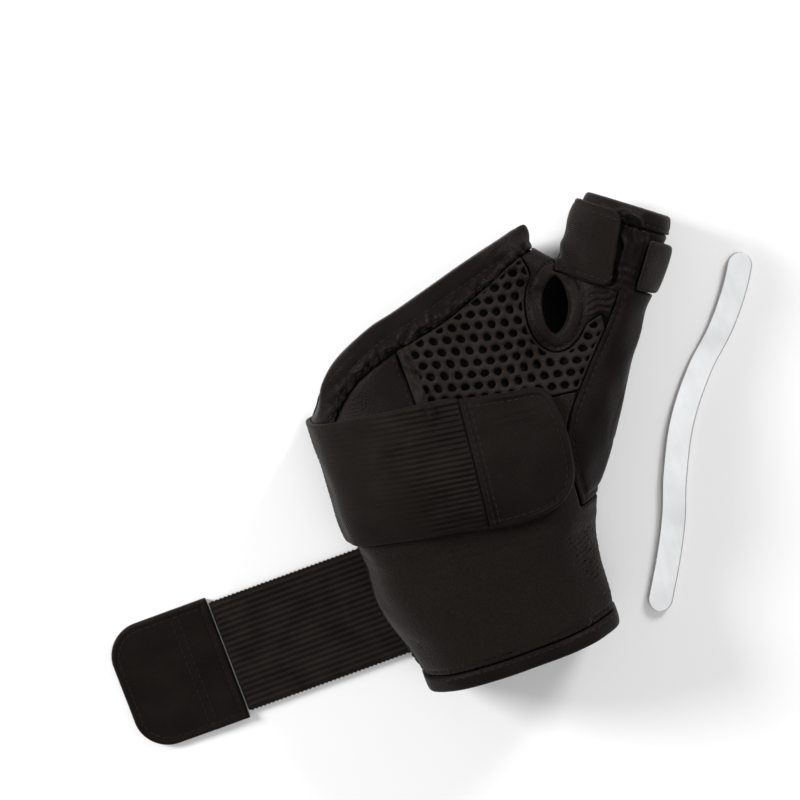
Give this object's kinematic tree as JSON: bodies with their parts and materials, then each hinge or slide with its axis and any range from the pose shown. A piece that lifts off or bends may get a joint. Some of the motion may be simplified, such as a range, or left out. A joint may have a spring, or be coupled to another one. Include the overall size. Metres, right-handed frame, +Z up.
{
  "type": "thumb spica splint",
  "caption": "Soft splint that holds the wrist and thumb: hand tube with a thumb tube, palm mesh, a fastened strap, an open strap and a bent metal stay lying beside it.",
  "frame": {"origin": "on the surface that the splint lies on, under the middle of the wrist", "axes": "+X to the thumb's side, +Y to the fingers, +Z up, out of the palm"},
  "size_m": [0.2507, 0.1449, 0.0503],
  "materials": {
    "lining": "black brushed knit, matt",
    "smooth_cloth": "purplish black smooth stretch cloth",
    "mesh": "black open honeycomb knit",
    "binding": "black folded stretch binding, slight sheen",
    "loop_cloth": "black brushed loop pile",
    "tab_cloth": "black fine woven cloth over hook tape",
    "elastic": "black ribbed woven elastic",
    "metal": "satin"
  },
  "bodies": {
    "root": {"back_panel": "lining", "palm_lining": "lining", "thumb_sleeve": "smooth_cloth", "mesh_panel": "mesh", "palm_band": "smooth_cloth", "heel_patch": "smooth_cloth", "web_binding": "binding", "stay_pocket": "loop_cloth", "wrist_panel": "loop_cloth", "cuff_binding": "binding", "thumb_rim_binding": "binding", "thumb_strap": "loop_cloth", "thumb_tab": "tab_cloth", "upper_strap": "elastic", "upper_strap_tab": "tab_cloth", "lower_strap": "elastic", "lower_strap_tab": "tab_cloth", "stay": "metal"}
  },
  "joints": []
}
